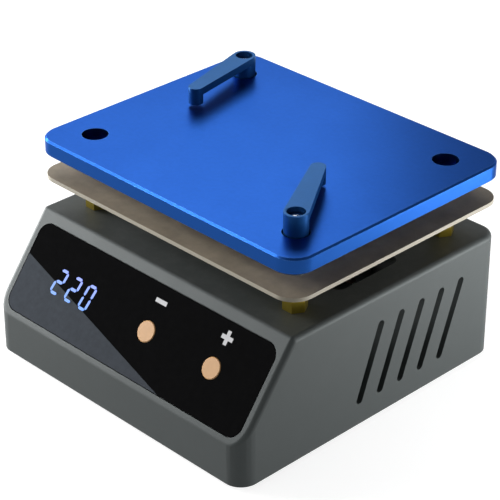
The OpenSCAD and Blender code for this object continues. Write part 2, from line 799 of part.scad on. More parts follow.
module mains_leads() {
    color("#7a3b2e") {
        lead([inlet_tab(7), inlet_tab(7, -1.8, 0.9), [12 - inlet_x, entry_y + 3.5, entry_z + 10.5],
              [26 - inlet_x, entry_y + 3.5, entry_z + 11.5], [switch_x - 6, entry_y + 4.5, entry_z + 9],
              switch_tab(-contact_x, -2, 0.4), switch_tab(-contact_x)], lead_d, [0, 0.1, 1]);
        lead([switch_tab(contact_x), switch_tab(contact_x - 0.4, -2.4),
              [switch_x - 4, entry_y + 4, entry_z + 2.5], [6, entry_y + 3.5, entry_z + 1],
              entry(0, 3), entry(0)], lead_d, [0, 0, 1]);
        lead([inlet_tab(-7), inlet_tab(-6.8, -1.6, 0.9), [-2 - inlet_x, entry_y + 1.9, entry_z + 7.5],
              [7 - inlet_x, entry_y + 1.3, entry_z + 7], [12 - inlet_x, entry_y + 2.3, entry_z + 3],
              entry(1, 2, 0.2), entry(1)], lead_d, [-0.2, 0.2, 1]);
    }
}

module panel_cable() {
    color("#c9c9c9")
        lead([behind_panel(4, 14, socket), behind_panel(4, 14, socket + 4),
              [2, power_y - 22, entry_z - 0.5], [1, power_y - 18.6, block_z + 3],
              [1, power_y - 18, block_z]], sleeve_d, [1, 0, 0]);
}

module power_board() {
    color("#22633c") translate([0, 0, power_z]) difference() {
        translate([0, power_y]) plate(power_w, power_d, pcb_r, pcb_t);
        at(power_sites, -1) cylinder(d = M2[0] + fit_gap, h = pcb_t + 2);
    }
}

module power_board_screws() {
    color("silver") at(power_sites, power_z + pcb_t) screw(M2, pcb_t + power_screw_len);
}

supply = [34, 20, 15];
supply_site = [14, power_y - 3];
module supply_module() {
    color("#232427") translate([supply_site.x, supply_site.y, block_z])
        plate(supply.x, supply.y, 1, supply.z);
}

sink = [18, 9, 20];
sink_site = [-20, power_y - 8];
sink_back = 2;
module heat_sink() {
    fins = 6;
    pitch = sink.x / (fins - 0.5);
    color("#8d9196") translate([sink_site.x - sink.x / 2, sink_site.y, block_z]) {
        cube([sink.x, sink_back, sink.z]);
        for (i = [0 : fins - 1])
            translate([i * pitch, 0, 0]) cube([pitch / 2, sink.y, sink.z]);
    }
}

triac_case = [10, 4.5, 9];
triac_tab = [10, 1.3, 15];
triac_leg = 0.8;
triac_pitch = 2.54;
triac_lift = 4;
module triac() {
    color("#1a1b1d") translate([sink_site.x, sink_site.y, block_z]) difference() {
        union() {
            for (part = [triac_case, triac_tab])
                translate([-part.x / 2, -part.y, triac_lift]) cube(part);
            for (i = [-1 : 1])
                translate([i * triac_pitch - triac_leg / 2, -triac_case.y / 2 - triac_leg / 2, 0])
                    cube([triac_leg, triac_leg, triac_lift + 0.5]);
        }
        translate([0, 1, triac_lift + triac_tab.z - 3]) rotate([90, 0, 0]) cylinder(d = 3.6, h = 8);
    }
}

fuse_site = [17, power_y + 15];
fuse_d = 5;
fuse_len = 20;
clip = [3, 6, 4];
module fuse() {
    color("#d5dcde") translate([fuse_site.x, fuse_site.y, block_z]) {
        translate([-fuse_len / 2, 0, clip.z]) rotate([0, 90, 0]) cylinder(d = fuse_d, h = fuse_len);
        for (s = [-1, 1])
            translate([s * (fuse_len - 2 * clip.x + 1) / 2 - clip.x / 2, -clip.y / 2, 0]) cube(clip);
    }
}

module terminal_block() {
    color("#2f7d4f") translate([block_site.x, block_site.y, block_z]) difference() {
        translate([-block.x / 2, -block.y / 2, 0]) cube(block);
        for (i = [-2 : 2]) {
            translate([i * block_pitch, 0, block.z - 3]) cylinder(d = 3.6, h = 4);
            translate([i * block_pitch, block.y / 2 - 1.5, entry_z - block_z])
                rotate([-90, 0, 0]) cylinder(d = 3, h = 2);
        }
    }
}

inlet_bezel = [30.8, 24.2, 1.6];
inlet_depth = 16;
inlet_room = [24.4, 16.6];
pin_size = [2, 4];
pin_sites = [[-7, -2], [7, -2], [0, 2]];
tab_len = 7;
tab_size = [0.8, 4.8];
inlet_floor = 1.5;
pin_short = 2;
function inlet_tab(x, back = 0, up = 0) =
    [x - inlet_x, rear_y - inlet_depth - tab_len + back, fitting_z + pin_sites[0].y + up];

// Male mains inlet, its two upper corners cut off
module power_inlet() {
    cut = 4.5;
    module room() {
        polygon([[-inlet_room.x / 2, -inlet_room.y / 2], [inlet_room.x / 2, -inlet_room.y / 2],
                 [inlet_room.x / 2, inlet_room.y / 2 - cut], [inlet_room.x / 2 - cut, inlet_room.y / 2],
                 [cut - inlet_room.x / 2, inlet_room.y / 2], [-inlet_room.x / 2, inlet_room.y / 2 - cut]]);
    }
    color("#17181a") on_rear(-inlet_x) difference() {
        union() {
            plate(inlet_bezel.x, inlet_bezel.y, 2, inlet_bezel.z);
            translate([0, 0, -inlet_depth])
                plate(inlet_cut.x - fit_gap, inlet_cut.y - fit_gap, 1, inlet_depth + eps);
        }
        translate([0, 0, inlet_floor - inlet_depth]) linear_extrude(inlet_depth + 2) room();
        for (p = pin_sites)
            translate([p.x, p.y, -inlet_depth])
                cube([pin_size.x + 2 * thread_gap, pin_size.y + 2 * thread_gap, 8], center = true);
    }
}

module inlet_pins() {
    color("#c9ccd0") on_rear(-inlet_x) for (p = pin_sites) {
        translate([p.x - pin_size.x / 2, p.y - pin_size.y / 2, -inlet_depth])
            cube([pin_size.x, pin_size.y, inlet_depth - pin_short]);
        translate([p.x - tab_size.x / 2, p.y - pin_size.y / 2, -inlet_depth - tab_len])
            cube([tab_size.x, pin_size.y, tab_len + eps]);
    }
}

switch_bezel = [21, 15, 1.6];
switch_depth = 13;
rocker_room = [17.8, 11];
rocker_len = 17.2;
rocker_w = 10.6;
rocker_tilt = 9;
rocker_axis = switch_bezel.z - 3;
trunnion_d = 2;
trunnion_len = 0.8;
rocker_rise = 3.3;
rocker_sink = 3.6;
contact_x = 4;
function switch_tab(x, back = 0, up = 0) =
    [x + switch_x, rear_y - switch_depth - tab_len + back, fitting_z + up];

module switch_body() {
    color("#1b1c1e") on_rear(switch_x) difference() {
        union() {
            plate(switch_bezel.x, switch_bezel.y, 1.5, switch_bezel.z);
            translate([0, 0, -switch_depth])
                plate(switch_cut.x - fit_gap, switch_cut.y - fit_gap, 1, switch_depth + eps);
        }
        translate([0, 0, rocker_axis - rocker_sink]) plate(rocker_room.x, rocker_room.y, 0.5, 8);
        translate([0, 0, rocker_axis]) rotate([90, 0, 0])
            cylinder(d = trunnion_d + 2 * pivot_gap, h = rocker_w + 2 * trunnion_len + 0.2, center = true);
    }
}

// The rocker, drawn level and then tipped to its resting side about its trunnions
module switch_rocker() {
    half = rocker_len / 2;
    tip_rise = rocker_rise + half * tan(rocker_tilt);
    color("#a31f1c") on_rear(switch_x) translate([0, 0, rocker_axis]) rotate([90, 0, 0])
        rotate(rocker_tilt) {
            linear_extrude(rocker_w, center = true) intersection() {
                circle(half);
                polygon([[0, rocker_rise], [half, tip_rise], [half, -1], [-half, -1], [-half, tip_rise]]);
            }
            cylinder(d = trunnion_d, h = rocker_w + 2 * trunnion_len, center = true);
        }
}

module switch_contacts() {
    color("#c9ccd0") on_rear(switch_x) for (s = [-1, 1])
        translate([s * contact_x - tab_size.x / 2, -tab_size.y / 2, -switch_depth - tab_len])
            cube([tab_size.x, tab_size.y, tab_len]);
}

module base_screws() {
    color("silver") at(boss_sites, foot_h + head_sink) mirror([0, 0, 1]) screw(ST29, 10);
}

housing();
base_cover();
faceplate();
display_segments();
display_module();
control_board();
for (i = [0, 1]) {
    push_button(button_x[i]);
    tact_switch(button_x[i]);
    tact_plunger(button_x[i]);
}
heating_plate();
insulation_board();
heater();
heater_strap(-strap_x);  // heater_strap_left
heater_strap(strap_x);  // heater_strap_right
temperature_sensor();
for (i = [0 : 3]) {
    standoff(hole_sites[i]);
    plate_spacer(spacer_sites[i]);
    foot(foot_sites[i]);
}
for (i = [0, 1]) {
    clamp_arm(i);
    clamp_screw(i);
    clamp_spring(i);
    clamp_washer(i);
}
power_board();
supply_module();
triac();
heat_sink();
fuse();
terminal_block();
power_inlet();
inlet_pins();
switch_body();
switch_rocker();
switch_contacts();
base_screws();
power_board_screws();
control_board_screws();
plate_screws();
lower_standoff_screws();
upper_standoff_screws();
spacer_screws();
plate_leads();
sensor_lead();
mains_leads();
panel_cable();
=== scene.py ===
"""Looks of a small hot plate that warms circuit boards: grey wedge housing, gloss control
panel with a lit display, beige insulation board on brass standoffs, blue anodised plate with
two swinging clamps."""

import math

import bpy
import numpy as np
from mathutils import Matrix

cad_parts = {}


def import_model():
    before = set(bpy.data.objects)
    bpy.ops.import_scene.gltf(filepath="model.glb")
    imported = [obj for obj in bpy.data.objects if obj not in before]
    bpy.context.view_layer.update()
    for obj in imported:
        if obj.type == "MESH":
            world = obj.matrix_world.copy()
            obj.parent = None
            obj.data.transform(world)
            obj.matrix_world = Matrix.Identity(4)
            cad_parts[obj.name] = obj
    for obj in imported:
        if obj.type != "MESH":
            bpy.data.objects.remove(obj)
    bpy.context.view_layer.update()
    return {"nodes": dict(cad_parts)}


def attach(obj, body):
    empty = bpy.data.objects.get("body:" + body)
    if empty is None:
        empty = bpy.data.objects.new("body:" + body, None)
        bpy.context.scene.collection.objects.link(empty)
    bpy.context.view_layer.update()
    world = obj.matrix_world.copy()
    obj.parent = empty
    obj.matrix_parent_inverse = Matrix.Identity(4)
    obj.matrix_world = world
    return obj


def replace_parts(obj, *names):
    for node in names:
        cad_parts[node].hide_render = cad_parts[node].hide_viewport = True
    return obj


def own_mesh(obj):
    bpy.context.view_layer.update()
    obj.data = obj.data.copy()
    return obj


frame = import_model()
MM = 0.001

# Control panel: its slope from level, the middle of its lower edge, the directions up the slope and
# out of it, and how far up the digits have their middle, in mm
PANEL_ANGLE = math.radians(53.3)
PANEL_FOOT = np.array([0.0, -49.6, 13.7]) * MM
PANEL_UP = np.array([0.0, math.cos(PANEL_ANGLE), math.sin(PANEL_ANGLE)])
PANEL_OUT = np.array([0.0, -math.sin(PANEL_ANGLE), math.cos(PANEL_ANGLE)])
FACE_V = 15.0

# Brightness overhead in reflections, of the even light, and of the floor as the camera sees it
SKY, SOFT, FLOOR_GLOW = 0.3, 0.14, 0.78
# Edges that turn more than this stay sharp
SHARP = math.radians(32)
CORNERS = ("front_left", "front_right", "back_left", "back_right")
CLAMPS = ("front", "back")


def on_panel(points):
    """Points given as across, up the slope and out of the panel, in mm, placed on the panel."""
    p = np.asarray(points, float) * MM
    side = np.array([1.0, 0.0, 0.0])
    return PANEL_FOOT + p[..., :1] * side + p[..., 1:2] * PANEL_UP + p[..., 2:3] * PANEL_OUT


# Meshes

def new_object(name, data):
    """Puts a mesh, lamp or camera into the scene as an object."""
    made = bpy.data.objects.new(name, data)
    bpy.context.scene.collection.objects.link(made)
    return made


def piece(name, points, faces, material, body="base"):
    """A piece from points in metres and faces as lists of corners, riding on a body."""
    mesh = bpy.data.meshes.new(name)
    mesh.from_pydata(np.asarray(points, float).tolist(), [], [list(map(int, face)) for face in faces])
    mesh.materials.append(material)
    made = new_object(name, mesh)
    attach(made, body)
    return made


def prism(outline, low, high):
    """Points and faces of a prism on the panel: a convex outline in mm, carried straight out of
    the panel from one height to another."""
    flat = np.asarray(outline, float)
    n = len(flat)
    under = np.column_stack([flat, np.full(n, low)])
    over = np.column_stack([flat, np.full(n, high)])
    ring = np.arange(n)
    turn = (ring + 1) % n
    sides = np.column_stack([ring, turn, turn + n, ring + n]).tolist()
    return on_panel(np.vstack([under, over])), sides + [list(ring[::-1]), list(ring + n)]


def joined(parts):
    """Several sets of points and faces as one."""
    points, faces, start = [], [], 0
    for part_points, part_faces in parts:
        points.append(part_points)
        faces += [[c + start for c in face] for face in part_faces]
        start += len(part_points)
    return np.vstack(points), faces


# Shader building

def set_inputs(tree, node, values):
    """Links or sets inputs of a node, each given by its name or number."""
    for key, value in values.items():
        if isinstance(value, bpy.types.NodeSocket):
            tree.links.new(value, node.inputs[key])
        else:
            node.inputs[key].default_value = value


def add(tree, kind, attrs=None, inputs=None):
    """Adds a node, sets its attributes, and links or sets its inputs."""
    node = tree.nodes.new(kind)
    for key, value in (attrs or {}).items():
        setattr(node, key, value)
    set_inputs(tree, node, inputs or {})
    return node


def maths(tree, operation, a, b=0.5, clamp=False):
    """One Math node on two values or sockets."""
    return add(tree, "ShaderNodeMath", {"operation": operation, "use_clamp": clamp}, {0: a, 1: b}).outputs[0]


def noise(tree, vector, scale, detail=4.0, roughness=0.55):
    """Value of a noise texture between 0 and 1."""
    inputs = {"Vector": vector, "Scale": scale, "Detail": detail, "Roughness": roughness}
    return add(tree, "ShaderNodeTexNoise", None, inputs).outputs[0]


def spread(tree, value, low, high, to_low=0.0, to_high=1.0):
    """Stretches a value from one span to another, clamped."""
    inputs = {"Value": value, "From Min": low, "From Max": high, "To Min": to_low, "To Max": to_high}
    return add(tree, "ShaderNodeMapRange", {"clamp": True}, inputs).outputs[0]


def mix_colour(tree, factor, a, b):
    """Mixes two colours by a factor. The node's colour sockets are its inputs 6 and 7 and output 2."""
    return add(tree, "ShaderNodeMix", {"data_type": "RGBA"}, {0: factor, 6: a, 7: b}).outputs[2]


def object_place(tree):
    """Place on the piece, in the shared frame."""
    return add(tree, "ShaderNodeTexCoord").outputs["Object"]


def normal_rise(tree):
    """Upward part of the true surface normal: 1 on a level top, 0 on an upright side."""
    normal = add(tree, "ShaderNodeNewGeometry").outputs["Normal"]
    return add(tree, "ShaderNodeSeparateXYZ", None, {0: normal}).outputs["Z"]


def effect(name, inputs, outputs):
    """An empty shader node group with its named sockets, and its input and output nodes."""
    tree = bpy.data.node_groups.new(name, "ShaderNodeTree")
    for label, kind, value in inputs:
        socket = tree.interface.new_socket(label, in_out="INPUT", socket_type=kind)
        if value is not None:
            socket.default_value = value
    for label, kind in outputs:
        tree.interface.new_socket(label, in_out="OUTPUT", socket_type=kind)
    return tree, tree.nodes.new("NodeGroupInput"), tree.nodes.new("NodeGroupOutput")


def grain_effect():
    """Fine surface grain: a height and a shade value, from two noises of different size."""
    tree, start, end = effect(
        "surface_grain",
        [("Scale", "NodeSocketFloat", 900.0), ("Stretch", "NodeSocketVector", (1.0, 1.0, 1.0))],
        [("Height", "NodeSocketFloat"), ("Shade", "NodeSocketFloat")])
    place = object_place(tree)
    drawn = add(tree, "ShaderNodeVectorMath", {"operation": "MULTIPLY"},
                {0: place, 1: start.outputs["Stretch"]}).outputs[0]
    coarse = maths(tree, "MULTIPLY", start.outputs["Scale"], 0.22)
    fine = noise(tree, drawn, start.outputs["Scale"], 3.0, 0.6)
    wide = noise(tree, drawn, coarse, 4.0, 0.6)
    height = maths(tree, "ADD", maths(tree, "MULTIPLY", fine, 0.6), maths(tree, "MULTIPLY", wide, 0.4))
    tree.links.new(height, end.inputs["Height"])
    tree.links.new(wide, end.inputs["Shade"])
    return tree


def wear_and_highlight_effect():
    """Worn edges with a painted edge highlight: 1 on sharp edges where a rounded normal departs from the true
    one, broken by noise.
    """
    tree, start, end = effect(
        "edge_wear_and_highlight",
        [("Radius", "NodeSocketFloat", 0.0004), ("Amount", "NodeSocketFloat", 0.5)],
        [("Mask", "NodeSocketFloat")])
    place = object_place(tree)
    true = add(tree, "ShaderNodeNewGeometry").outputs["Normal"]
    soft = add(tree, "ShaderNodeBevel", {"samples": 6}, {"Radius": start.outputs["Radius"]}).outputs[0]
    dot = add(tree, "ShaderNodeVectorMath", {"operation": "DOT_PRODUCT"}, {0: true, 1: soft}).outputs["Value"]
    edge = spread(tree, dot, 0.995, 0.86)
    broken = spread(tree, noise(tree, place, 700.0, 6.0, 0.7), 0.35, 0.65)
    mask = maths(tree, "MULTIPLY", maths(tree, "MULTIPLY", edge, broken), start.outputs["Amount"], True)
    tree.links.new(mask, end.inputs["Mask"])
    return tree


def recess_effect():
    """How open a point is: 0 deep in a hole or a joint, 1 out in the open; finishes use it to paint shade
    into recesses.
    """
    tree, start, end = effect(
        "recess_shade", [("Reach", "NodeSocketFloat", 0.004), ("Power", "NodeSocketFloat", 1.0)],
        [("Open", "NodeSocketFloat")])
    near = add(tree, "ShaderNodeAmbientOcclusion", {"samples": 6, "only_local": True},
               {"Distance": start.outputs["Reach"]}).outputs["AO"]
    tree.links.new(maths(tree, "POWER", near, start.outputs["Power"]), end.inputs["Open"])
    return tree


def smudge_effect():
    """Uneven gloss from handling: a roughness shift that drifts over the surface."""
    tree, start, end = effect(
        "handling_smudges", [("Scale", "NodeSocketFloat", 60.0), ("Amount", "NodeSocketFloat", 0.08)],
        [("Shift", "NodeSocketFloat")])
    place = object_place(tree)
    cloud = noise(tree, place, start.outputs["Scale"], 5.0, 0.65)
    centred = maths(tree, "SUBTRACT", cloud, 0.5)
    shift = maths(tree, "MULTIPLY", centred, maths(tree, "MULTIPLY", start.outputs["Amount"], 2.0))
    tree.links.new(shift, end.inputs["Shift"])
    return tree


def dust_effect():
    """Light dust that settles on surfaces facing up, in soft patches."""
    tree, start, end = effect(
        "settled_dust", [("Amount", "NodeSocketFloat", 0.1)], [("Mask", "NodeSocketFloat")])
    place = object_place(tree)
    up = spread(tree, normal_rise(tree), 0.6, 1.0)
    patch = spread(tree, noise(tree, place, 240.0, 8.0, 0.75), 0.45, 0.8)
    mask = maths(tree, "MULTIPLY", maths(tree, "MULTIPLY", up, patch), start.outputs["Amount"], True)
    tree.links.new(mask, end.inputs["Mask"])
    return tree


GRAIN = grain_effect()
WEAR_AND_HIGHLIGHT = wear_and_highlight_effect()
RECESS = recess_effect()
SMUDGE = smudge_effect()
DUST = dust_effect()


def use(tree, group, **inputs):
    """Places an effect group in a material with its own values."""
    return add(tree, "ShaderNodeGroup", {"node_tree": group}, inputs)


def new_material(name):
    """A material with only its output and Principled shader."""
    material = bpy.data.materials.new(name)
    material.use_nodes = True
    tree = material.node_tree
    return material, tree, tree.nodes["Principled BSDF"]


def finish(name, colour, roughness, metallic=0.0, tint=0.12, grain=900.0, stretch=(1, 1, 1), bump=0.05,
           smudge=0.06, wear_and_highlight=0.0, wear_and_highlight_colour=None, wear_and_highlight_radius=0.0003, dust=0.0, coat=0.0, specular=0.5,
           cut_colour_and_shading=None, painted_recess_shade=0.0, edge=(1, 1, 1)):
    """A surface finish: colour that varies with the grain, gloss that varies with handling, worn
    edges with a painted highlight, a little dust, a fine bump in mm, a colour on upright faces that
    is partly the cut edge's own and partly painted light and shade, painted shade in recesses, and
    a tint of the shine seen at a low angle."""
    material, tree, shader = new_material(name)
    rough_grain = use(tree, GRAIN, Scale=grain, Stretch=stretch)
    dark = tuple(c * (1 - tint) for c in colour) + (1,)
    light = tuple(min(1.0, c * (1 + tint)) for c in colour) + (1,)
    body = mix_colour(tree, spread(tree, rough_grain.outputs["Shade"], 0.3, 0.7), dark, light)
    # Upright faces: on the board a lighter colour that is partly the cut edge's own and partly painted light
    # on its outward edges; on the plate painted shade on its sides and bore walls
    if cut_colour_and_shading:
        upright = maths(tree, "ABSOLUTE", normal_rise(tree))
        body = mix_colour(tree, spread(tree, upright, 0.75, 0.35), body, cut_colour_and_shading + (1,))
    # Edges lightened partly as worn edges and partly as a painted highlight; the light blue edges of the
    # plate and arms are a painted highlight on their chamfers
    if wear_and_highlight:
        worn_and_lit = use(tree, WEAR_AND_HIGHLIGHT, Radius=wear_and_highlight_radius, Amount=wear_and_highlight)
        body = mix_colour(tree, worn_and_lit.outputs["Mask"], body, wear_and_highlight_colour + (1,))
    # Painted shade: holes and joints darkened towards near black by how open they are
    if painted_recess_shade:
        open_air = use(tree, RECESS, Power=painted_recess_shade).outputs["Open"]
        body = mix_colour(tree, open_air, tuple(c * 0.03 for c in colour) + (1,), body)
    if dust:
        settled = use(tree, DUST, Amount=dust)
        body = mix_colour(tree, settled.outputs["Mask"], body, (0.55, 0.54, 0.52, 1))
    shift = use(tree, SMUDGE, Amount=smudge).outputs["Shift"]
    relief = add(tree, "ShaderNodeBump", None,
                 {"Height": rough_grain.outputs["Height"], "Strength": 1.0, "Distance": bump * MM})
    set_inputs(tree, shader, {
        "Base Color": body, "Roughness": maths(tree, "ADD", shift, roughness, True),
        "Normal": relief.outputs[0], "Metallic": metallic, "Coat Weight": coat, "Coat Roughness": 0.1,
        "Specular IOR Level": specular, "Specular Tint": edge + (1,)})
    return material


def srgb(r, g, b):
    """Linear colour from 0 to 255 display values."""
    values = np.array([r, g, b]) / 255.0
    low = values / 12.92
    high = ((values + 0.055) / 1.055) ** 2.4
    return tuple(float(v) for v in np.where(values <= 0.04045, low, high))


def panel_coordinate(tree, direction):
    """Distance in mm along a direction on the panel, measured from the middle of its lower edge."""
    shifted = add(tree, "ShaderNodeVectorMath", {"operation": "SUBTRACT"},
                  {0: object_place(tree), 1: tuple(PANEL_FOOT)}).outputs[0]
    along = add(tree, "ShaderNodeVectorMath", {"operation": "DOT_PRODUCT"},
                {0: shifted, 1: tuple(direction)}).outputs["Value"]
    return maths(tree, "DIVIDE", along, MM)


# Printing and a painted reflection on the panel, in mm: the middles and half sizes of the two signs,
# how soft their edge is, and the line that parts black from the painted grey reflection
MINUS_X, PLUS_X, SIGN_V = 4.9, 30.0, 23.8
MINUS_HALF, PLUS_HALF, STROKE_HALF = 2.1, 2.0, 0.6
PRINT_EDGE = 0.03
REFLECTION_SLOPE, REFLECTION_START, REFLECTION_EDGE = -0.254, 6.24, 0.04


def printed_bar(tree, across, up, middle, half):
    """1 inside a printed bar of the panel, given by its middle and half sizes, with a crisp edge."""
    masks = []
    for value, centre, reach in ((across, middle[0], half[0]), (up, middle[1], half[1])):
        away = maths(tree, "ABSOLUTE", maths(tree, "SUBTRACT", value, centre))
        masks.append(spread(tree, away, reach + PRINT_EDGE, reach - PRINT_EDGE))
    return maths(tree, "MULTIPLY", *masks)


def faceplate_finish():
    """Back-printed gloss sheet: black, with a painted grey reflection below a slanting line at the left,
    and a white minus and plus over the buttons."""
    material, tree, shader = new_material("faceplate_gloss")
    across = panel_coordinate(tree, (1, 0, 0))
    up = panel_coordinate(tree, PANEL_UP)
    line = maths(tree, "ADD", maths(tree, "MULTIPLY", across, REFLECTION_SLOPE), REFLECTION_START)
    below = spread(tree, maths(tree, "SUBTRACT", line, up), -REFLECTION_EDGE, REFLECTION_EDGE)
    fleck = use(tree, GRAIN, Scale=2600.0)
    shade = spread(tree, fleck.outputs["Shade"], 0.3, 0.7)
    black = mix_colour(tree, shade, (0.0016, 0.0016, 0.0018, 1), (0.0026, 0.0026, 0.0029, 1))
    # Painted reflection: the dark grey below the slanting line stands in for a reflection in the gloss sheet
    grey = mix_colour(tree, shade, srgb(60, 64, 69) + (1,), srgb(66, 70, 76) + (1,))
    body = mix_colour(tree, below, black, grey)
    minus = printed_bar(tree, across, up, (MINUS_X, SIGN_V), (MINUS_HALF, STROKE_HALF))
    plus_flat = printed_bar(tree, across, up, (PLUS_X, SIGN_V), (PLUS_HALF, STROKE_HALF))
    plus_tall = printed_bar(tree, across, up, (PLUS_X, SIGN_V), (STROKE_HALF, PLUS_HALF))
    signs = maths(tree, "MAXIMUM", minus, maths(tree, "MAXIMUM", plus_flat, plus_tall))
    body = mix_colour(tree, signs, body, srgb(200, 200, 202) + (1,))
    shift = use(tree, SMUDGE, Amount=0.03, Scale=45.0).outputs["Shift"]
    relief = add(tree, "ShaderNodeBump", None, {"Height": fleck.outputs["Height"], "Distance": 0.002 * MM})
    set_inputs(tree, shader, {
        "Base Color": body, "Roughness": maths(tree, "ADD", shift, 0.07, True),
        "Normal": relief.outputs[0], "Specular IOR Level": 0.012})
    return material


def glowing_bar_finish():
    """Light guide that is lit from behind: blue at the foot of a digit, more violet at its head."""
    material, tree, shader = new_material("display_lit")
    fleck = use(tree, GRAIN, Scale=500.0)
    up = panel_coordinate(tree, PANEL_UP)
    hue = maths(tree, "ADD", spread(tree, up, FACE_V - 4.0, FACE_V + 4.0),
                spread(tree, fleck.outputs["Shade"], 0.35, 0.65, -0.15, 0.15), True)
    set_inputs(tree, shader, {
        "Base Color": (0.04, 0.06, 0.12, 1), "Emission Strength": 1.0,
        "Emission Color": mix_colour(tree, hue, srgb(84, 150, 238) + (1,), srgb(134, 152, 255) + (1,)),
        "Roughness": spread(tree, fleck.outputs["Height"], 0, 1, 0.25, 0.35)})
    return material


# Finishes, by the colour and material they stand for

HOUSING = finish("housing_grey", srgb(49, 53, 53), 0.6, tint=0.03, grain=1800.0, bump=0.006, smudge=0.05,
                 wear_and_highlight=0.15, wear_and_highlight_colour=srgb(130, 135, 136), dust=0.04, specular=0.4, edge=(0.92, 1, 1))
BASE = finish("base_dark", srgb(52, 55, 57), 0.55, tint=0.08, grain=1500.0, bump=0.02)
# Plate: its light blue edge colour is a painted highlight, its darker upright faces are painted shade, and
# its holes get painted shade
PLATE = finish("plate_blue", srgb(27, 68, 138), 0.34, metallic=1.0, tint=0.05, grain=3200.0, bump=0.006,
               smudge=0.05, wear_and_highlight=0.5, wear_and_highlight_colour=srgb(105, 165, 245), painted_recess_shade=0.7,
               edge=(0.55, 0.62, 0.9), cut_colour_and_shading=srgb(24, 63, 124))
ARM = finish("arm_blue", srgb(17, 62, 116), 0.36, metallic=0.6, tint=0.06, grain=2400.0, bump=0.006,
             wear_and_highlight=0.35, wear_and_highlight_colour=srgb(90, 140, 190), wear_and_highlight_radius=0.0002, specular=0.2,
             edge=(0.5, 0.75, 0.95))
# Board: its lighter edges are partly the cut edge's own colour and partly painted light, and its worn edges
# carry a painted highlight
BOARD = finish("insulation_beige", srgb(138, 126, 106), 0.62, tint=0.2, grain=700.0, bump=0.03, smudge=0.1,
               wear_and_highlight=0.3, wear_and_highlight_colour=srgb(205, 198, 180), cut_colour_and_shading=srgb(146, 140, 126))
BRASS = finish("standoff_brass", srgb(170, 150, 58), 0.3, metallic=1.0, tint=0.05, grain=2600.0,
               bump=0.003, wear_and_highlight=0.2, wear_and_highlight_colour=srgb(225, 205, 110))
STEEL = finish("zinc_steel", srgb(196, 198, 200), 0.3, metallic=1.0, tint=0.06, grain=1600.0, bump=0.008)
SCREW = finish("bright_screw", srgb(226, 228, 232), 0.2, metallic=1.0, tint=0.05, grain=1600.0, bump=0.006,
               smudge=0.04)
ALUMINIUM = finish("bare_aluminium", srgb(190, 193, 196), 0.38, metallic=1.0, tint=0.06, grain=1400.0,
                   stretch=(0.06, 1, 1), bump=0.02)
TAN = finish("button_tan", srgb(186, 140, 88), 0.4, tint=0.05, grain=2200.0, bump=0.008, smudge=0.08)
BLACK = finish("black_plastic", srgb(30, 31, 33), 0.42, tint=0.15, grain=1500.0, bump=0.015, dust=0.05)
RUBBER = finish("foot_rubber", srgb(26, 26, 27), 0.75, tint=0.2, grain=1300.0, bump=0.03)
GREEN = finish("board_green", srgb(24, 88, 50), 0.3, tint=0.15, grain=500.0, bump=0.01, coat=0.4)
WHITE = finish("white_plastic", srgb(214, 214, 206), 0.45, tint=0.04, grain=1500.0, bump=0.01)
RED = finish("switch_red", srgb(158, 28, 24), 0.3, tint=0.05, grain=1800.0, bump=0.006, smudge=0.08)
TERMINAL = finish("terminal_green", srgb(46, 124, 78), 0.45, tint=0.05, grain=1500.0, bump=0.01)
GLASS_TUBE = finish("fuse_glass", srgb(205, 214, 216), 0.12, tint=0.05, grain=400.0, bump=0.004)
SLEEVE = finish("lead_sleeve", srgb(222, 214, 190), 0.7, tint=0.18, grain=2600.0, bump=0.06)
BROWN = finish("lead_brown", srgb(62, 42, 34), 0.4, tint=0.06, grain=1200.0, bump=0.01)
FACE = faceplate_finish()
LIT = glowing_bar_finish()


# Finishes of the CAD nodes

def dress(names, material, round_off=0.0):
    """Gives CAD nodes a finish, smooth curves and, where a width in mm is given, rounded edges."""
    for name in names:
        node = frame["nodes"][name]
        node.data.materials.clear()
        node.data.materials.append(material)
        node.data.polygons.foreach_set("use_smooth", np.ones(len(node.data.polygons), bool))
        weld = node.modifiers.new("weld", "WELD")
        weld.merge_threshold = 0.001 * MM
        if round_off:
            bevel = node.modifiers.new("rounded_edges", "BEVEL")
            bevel.width = round_off * MM
            bevel.segments = 2
            bevel.limit_method = "ANGLE"
            bevel.angle_limit = SHARP
        split = node.modifiers.new("sharp_edges", "EDGE_SPLIT")
        split.split_angle = SHARP
        flat = node.modifiers.new("flat_faces", "WEIGHTED_NORMAL")
        flat.weight = 100


def each(stem, places):
    """Names of the nodes that repeat at each place."""
    return [f"{stem}_{place}" for place in places]


dress(["housing"], HOUSING)
dress(["base_cover"], BASE)
dress(["faceplate"], FACE)
dress(["heating_plate"], PLATE)
dress(["insulation_board"], BOARD, 0.12)
dress(each("clamp_arm", CLAMPS), ARM, 0.18)
dress(each("standoff", CORNERS), BRASS, 0.12)
dress(each("button", ("minus", "plus")), TAN)
dress(["heater", "heat_sink", *each("plate_spacer", CORNERS)], ALUMINIUM)
dress(["heater_strap_left", "heater_strap_right", "temperature_sensor", "inlet_pins", "switch_contacts",
       *each("clamp_washer", CLAMPS), *each("clamp_spring", CLAMPS),
       "base_screws", "power_board_screws", "control_board_screws", "plate_screws",
       "lower_standoff_screws", "upper_standoff_screws", "spacer_screws"], STEEL)
dress(each("clamp_screw", CLAMPS), SCREW, 0.05)
dress(each("foot", CORNERS), RUBBER)
dress(["control_board", "power_board"], GREEN)
dress(["display_module"], WHITE)
dress(["tact_switch_minus", "tact_switch_plus", "tact_plunger_minus", "tact_plunger_plus",
       "supply_module", "triac", "power_inlet", "switch_body"], BLACK)
dress(["switch_rocker"], RED, 0.15)
dress(["terminal_block"], TERMINAL)
dress(["fuse"], GLASS_TUBE)
dress(["plate_leads", "sensor_lead", "panel_cable"], SLEEVE)
dress(["mains_leads"], BROWN)


# Clamp springs: each spring gets a mesh of its own

